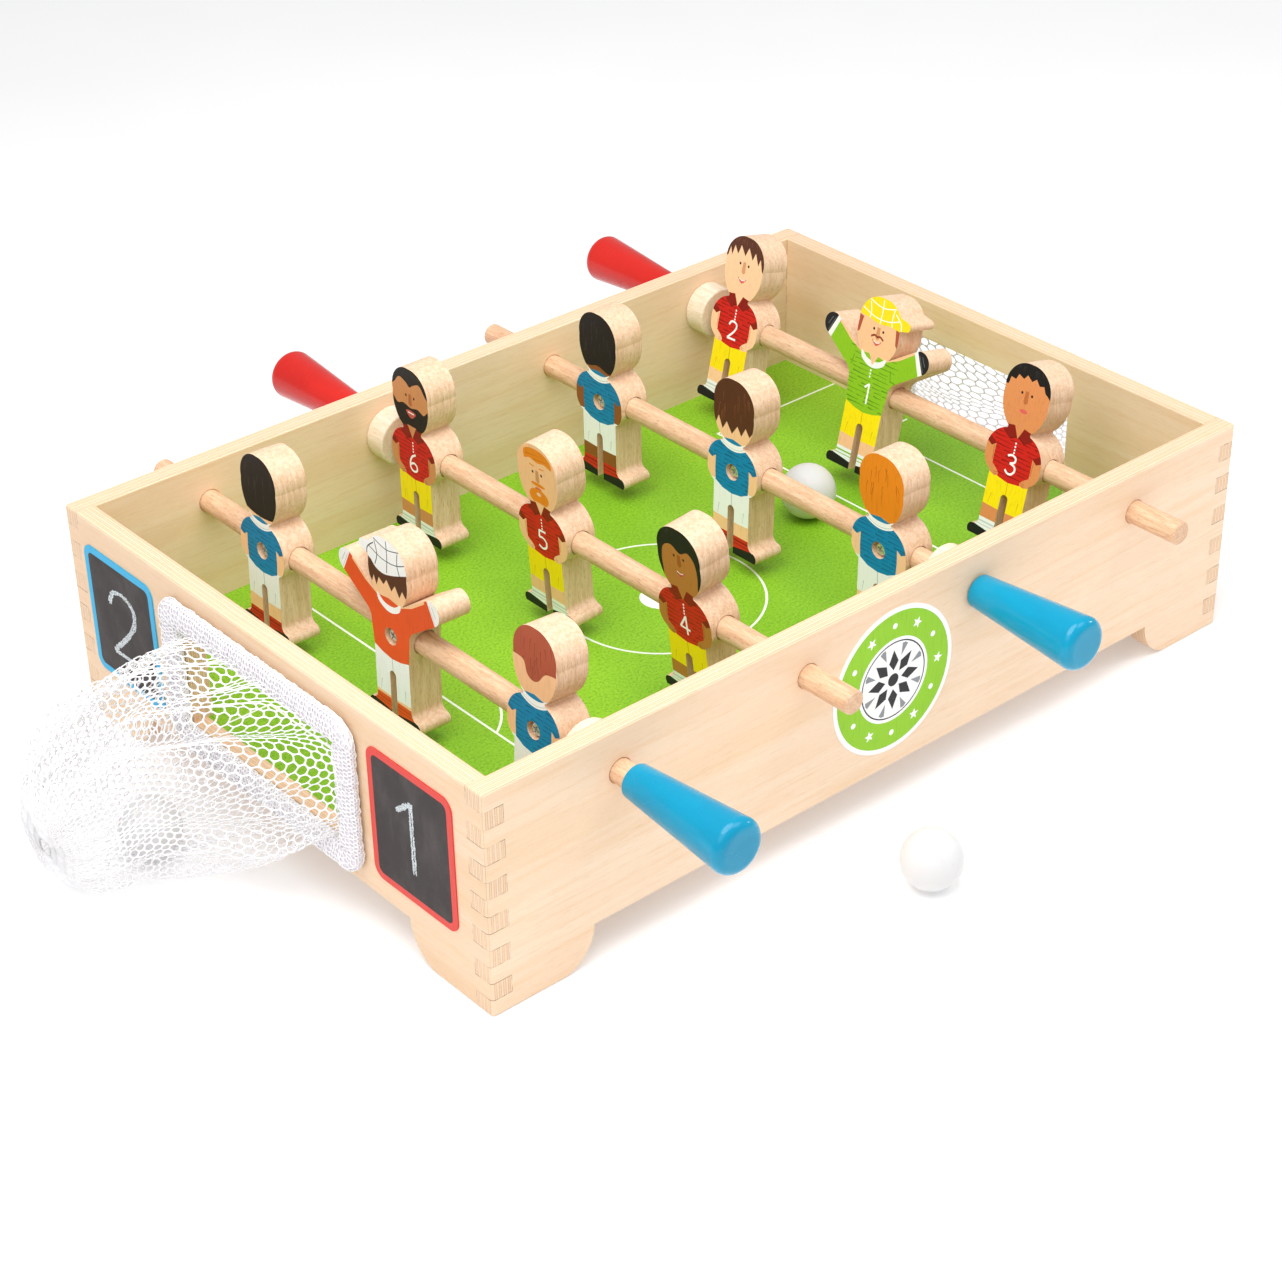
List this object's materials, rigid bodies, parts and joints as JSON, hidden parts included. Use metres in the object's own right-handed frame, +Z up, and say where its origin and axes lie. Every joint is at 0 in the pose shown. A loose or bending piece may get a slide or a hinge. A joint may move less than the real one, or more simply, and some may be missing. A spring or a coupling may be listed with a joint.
{
  "type": "tabletop foosball",
  "caption": "Small wooden tabletop football game: plywood box on arched feet, four sliding and turning rods with figures, two netted goals and loose balls.",
  "frame": {"origin": "on the floor under the centre of the box", "axes": "+Z up; +X along the pitch towards the red keeper's goal; -Y towards the long side with the round badge"},
  "size_m": [0.674, 0.4878, 0.1484],
  "materials": {
    "ply": "clear satin lacquer on birch plywood",
    "pitch_print": "matt printed sheet, grass green with white lines",
    "net_mesh": "knitted hexagonal mesh, white",
    "net_hem": "gathered white mesh band",
    "staple_wire": "galvanised wire",
    "slate_print": "chalkboard film with a coloured border",
    "badge_print": "printed round sticker",
    "beech_rod": "satin beech dowel",
    "beech_ring": "pale turned wood",
    "beech_figure": "sawn beech with printed front and back",
    "paint_blue": "gloss blue paint on turned wood",
    "paint_red": "gloss red paint on turned wood",
    "screw_steel": "zinc-plated cross-head screw",
    "ball_white": "satin white"
  },
  "bodies": {
    "table": {"front_long_board": "ply", "back_long_board": "ply", "left_end_board": "ply", "right_end_board": "ply", "playfield_board": "ply", "pitch_sheet": "pitch_print", "goal_net_left": "net_mesh", "goal_net_right": "net_mesh", "net_band_left": "net_hem", "net_band_right": "net_hem", "net_staples_left": "staple_wire", "net_staples_right": "staple_wire", "score_slate_red": "slate_print", "score_slate_blue": "slate_print", "front_badge": "badge_print"},
    "ring_1": {"ring_1": "beech_ring"},
    "rod_1": {"rod_1": "beech_rod", "handle_1": "paint_blue", "figure_1a": "beech_figure", "figure_1b": "beech_figure", "figure_1c": "beech_figure", "figure_screws_1": "screw_steel"},
    "ring_2": {"ring_2": "beech_ring"},
    "rod_2": {"rod_2": "beech_rod", "handle_2": "paint_red", "figure_2a": "beech_figure", "figure_2b": "beech_figure", "figure_2c": "beech_figure", "figure_screws_2": "screw_steel"},
    "ring_3": {"ring_3": "beech_ring"},
    "rod_3": {"rod_3": "beech_rod", "handle_3": "paint_blue", "figure_3a": "beech_figure", "figure_3b": "beech_figure", "figure_3c": "beech_figure", "figure_screws_3": "screw_steel"},
    "ring_4": {"ring_4": "beech_ring"},
    "rod_4": {"rod_4": "beech_rod", "handle_4": "paint_red", "figure_4a": "beech_figure", "figure_4b": "beech_figure", "figure_4c": "beech_figure", "figure_screws_4": "screw_steel"},
    "ball_on_pitch": {"ball_on_pitch": "ball_white"},
    "ball_on_floor": {"ball_on_floor": "ball_white"},
    "ball_in_net": {"ball_in_net": "ball_white"}
  },
  "joints": [
    {"name": "rod_1_spin", "type": "hinge", "parent": "table", "child": "ring_1", "pos_m": [-0.16695, 0, 0.096], "axis": [0, 1, 0], "continuous": true},
    {"name": "rod_1_slide", "type": "slide", "parent": "ring_1", "child": "rod_1", "axis": [0, 1, 0], "range_m": [-0.0048, 0.0095]},
    {"name": "rod_2_spin", "type": "hinge", "parent": "table", "child": "ring_2", "pos_m": [-0.05565, 0, 0.096], "axis": [0, 1, 0], "continuous": true},
    {"name": "rod_2_slide", "type": "slide", "parent": "ring_2", "child": "rod_2", "axis": [0, -1, 0], "range_m": [-0.0016, 0.0127]},
    {"name": "rod_3_spin", "type": "hinge", "parent": "table", "child": "ring_3", "pos_m": [0.05565, 0, 0.096], "axis": [0, 1, 0], "continuous": true},
    {"name": "rod_3_slide", "type": "slide", "parent": "ring_3", "child": "rod_3", "axis": [0, 1, 0], "range_m": [-0.0143, 0]},
    {"name": "rod_4_spin", "type": "hinge", "parent": "table", "child": "ring_4", "pos_m": [0.16695, 0, 0.096], "axis": [0, 1, 0], "continuous": true},
    {"name": "rod_4_slide", "type": "slide", "parent": "ring_4", "child": "rod_4", "axis": [0, -1, 0], "range_m": [-0.0016, 0.0127]},
    {"name": "ball_on_pitch_roll", "type": "slide", "parent": "table", "child": "ball_on_pitch", "axis": [0, 1, 0], "range_m": [-0.149, 0.127]},
    {"name": "ball_on_floor_roll", "type": "slide", "parent": "table", "child": "ball_on_floor", "axis": [1, 0, 0], "range_m": [-0.1, 0.1]},
    {"name": "ball_in_net_roll", "type": "slide", "parent": "table", "child": "ball_in_net", "axis": [0, 1, 0], "range_m": [-0.005, 0.011]}
  ]
}
